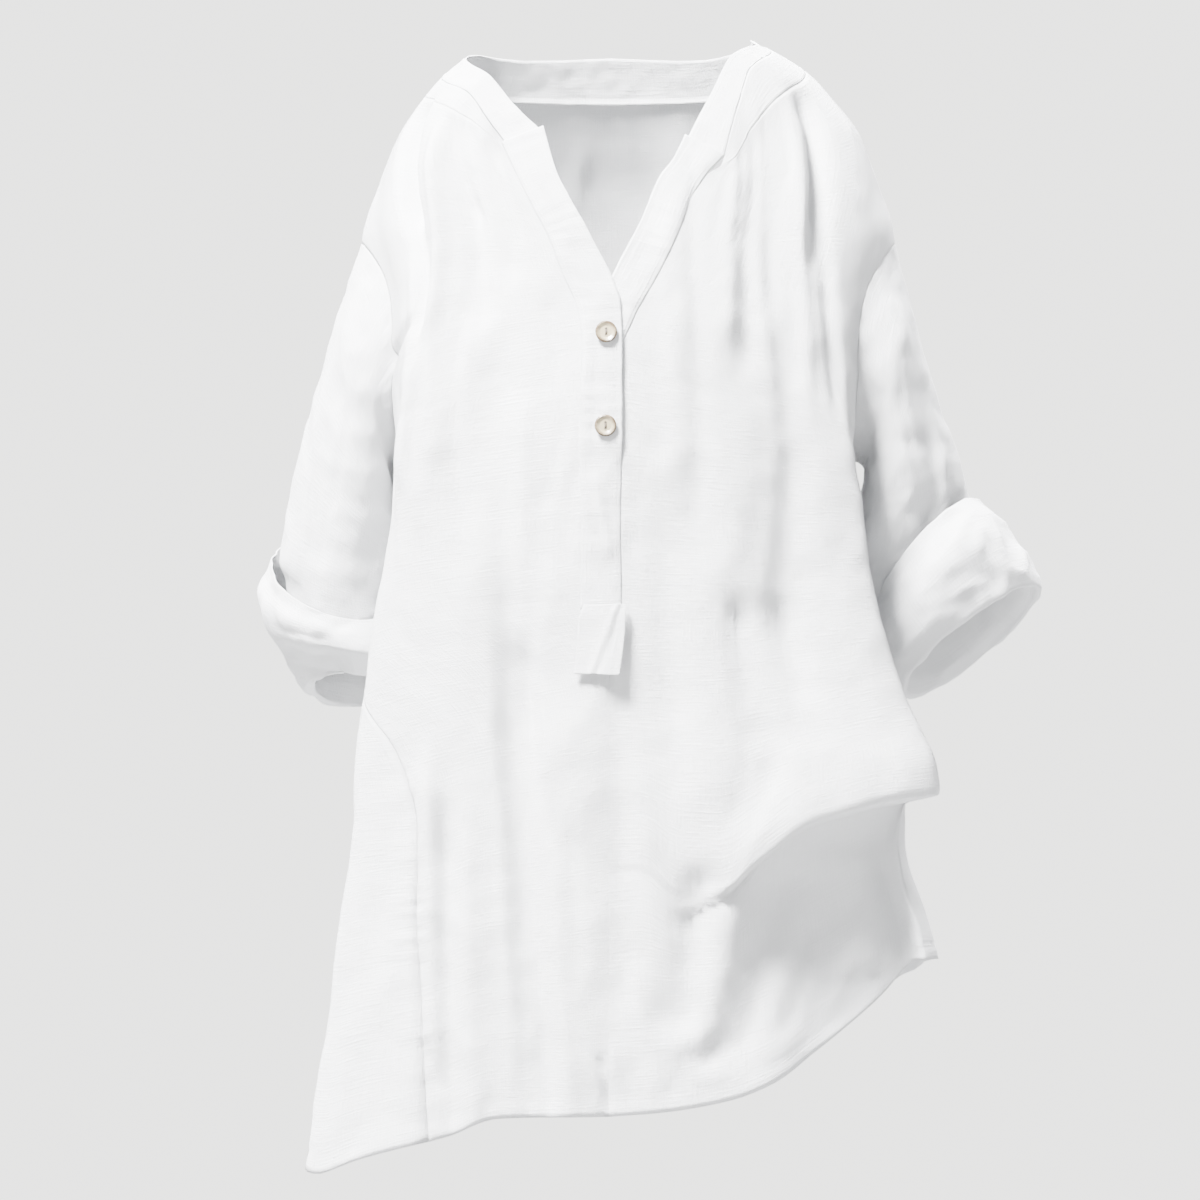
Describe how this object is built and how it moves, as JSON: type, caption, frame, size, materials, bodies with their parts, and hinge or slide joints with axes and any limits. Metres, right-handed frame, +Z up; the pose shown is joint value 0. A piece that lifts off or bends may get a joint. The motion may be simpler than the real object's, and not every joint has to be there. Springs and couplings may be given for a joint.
{
  "type": "half-button blouse",
  "caption": "Loose collarless linen blouse with a half-button placket, dropped shoulders, turned-back short sleeves and an uneven hem, filled out as if worn.",
  "frame": {"origin": "middle of the neck on the shoulder line, where the wearer carries the blouse", "axes": "+X towards the wearer's left, +Y towards the back, +Z up"},
  "size_m": [0.5527, 0.2895, 0.7938],
  "materials": {
    "linen": "matte slubbed weave",
    "button_shell": "satin"
  },
  "bodies": {
    "root": {"front": "linen", "back": "linen", "sleeve_right": "linen", "sleeve_left": "linen", "cuff_right": "linen", "cuff_left": "linen", "neckband": "linen", "placket_right": "linen", "placket_left": "linen", "placket_tab": "linen", "button_top": "button_shell", "button_bottom": "button_shell"}
  },
  "joints": []
}
